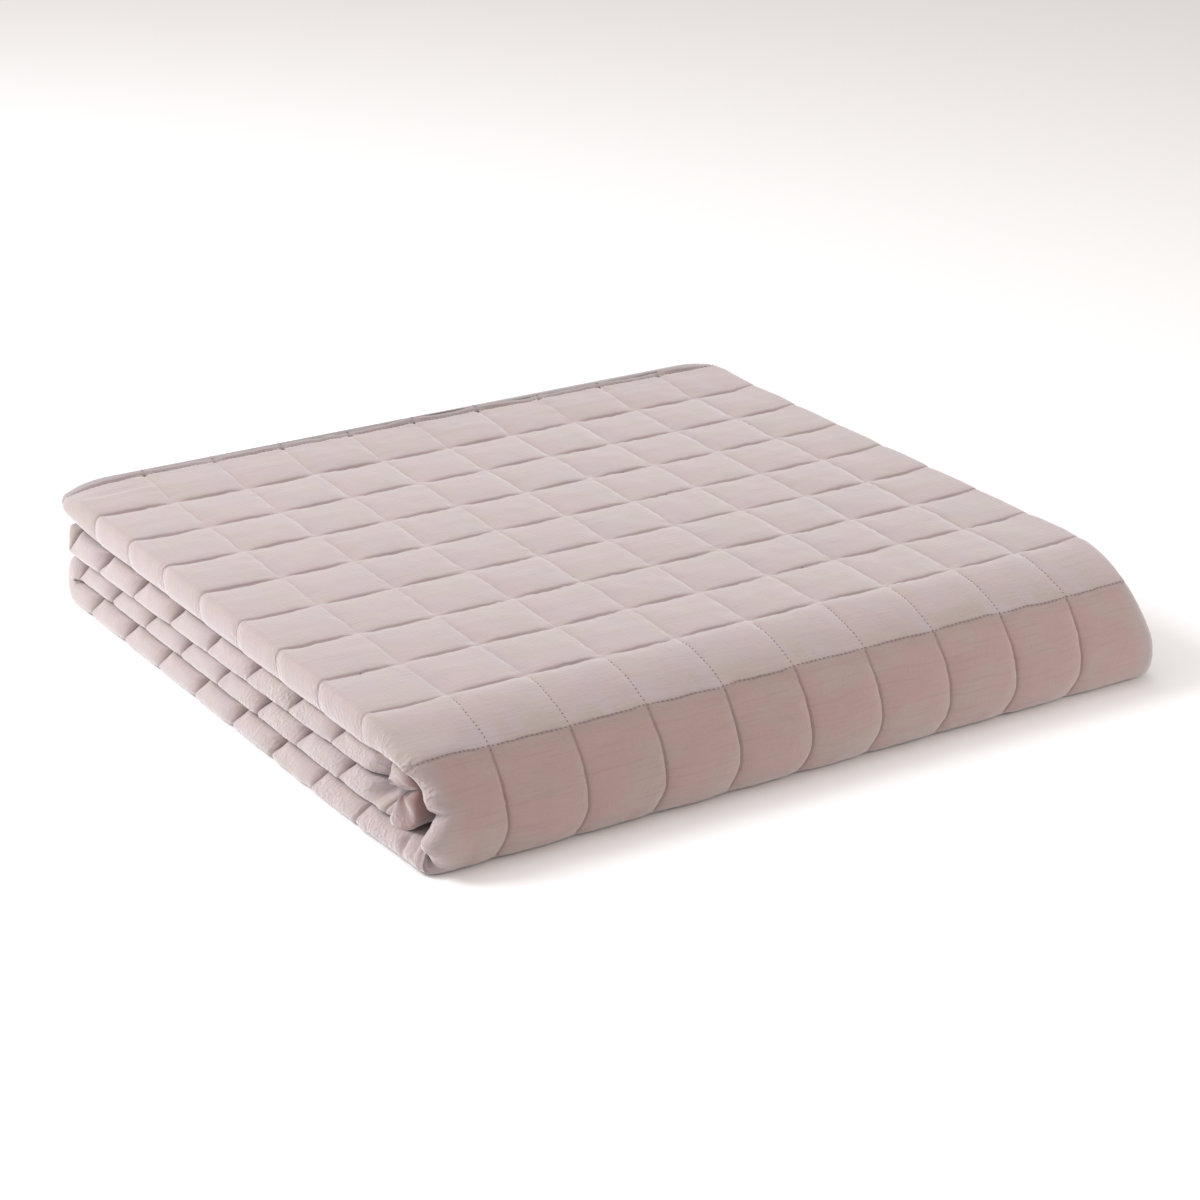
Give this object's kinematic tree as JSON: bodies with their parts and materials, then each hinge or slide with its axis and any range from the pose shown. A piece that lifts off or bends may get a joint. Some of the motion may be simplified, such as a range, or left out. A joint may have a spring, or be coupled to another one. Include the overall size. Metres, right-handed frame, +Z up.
{
  "type": "weighted blanket",
  "caption": "Quilted weighted blanket folded into a flat stack, with its fold rolled over the front edge and its hems along the sides and rear.",
  "frame": {"origin": "middle of the bounding box on the surface that the folded blanket lies on", "axes": "+X along the front fold to the right as seen from the front, -Y out of the front fold, +Z up"},
  "size_m": [0.5228, 0.4762, 0.0789],
  "materials": {
    "cotton_cover": "matt woven cotton, dusty pink, quilted"
  },
  "bodies": {
    "root": {"quilted_blanket": "cotton_cover"}
  },
  "joints": []
}
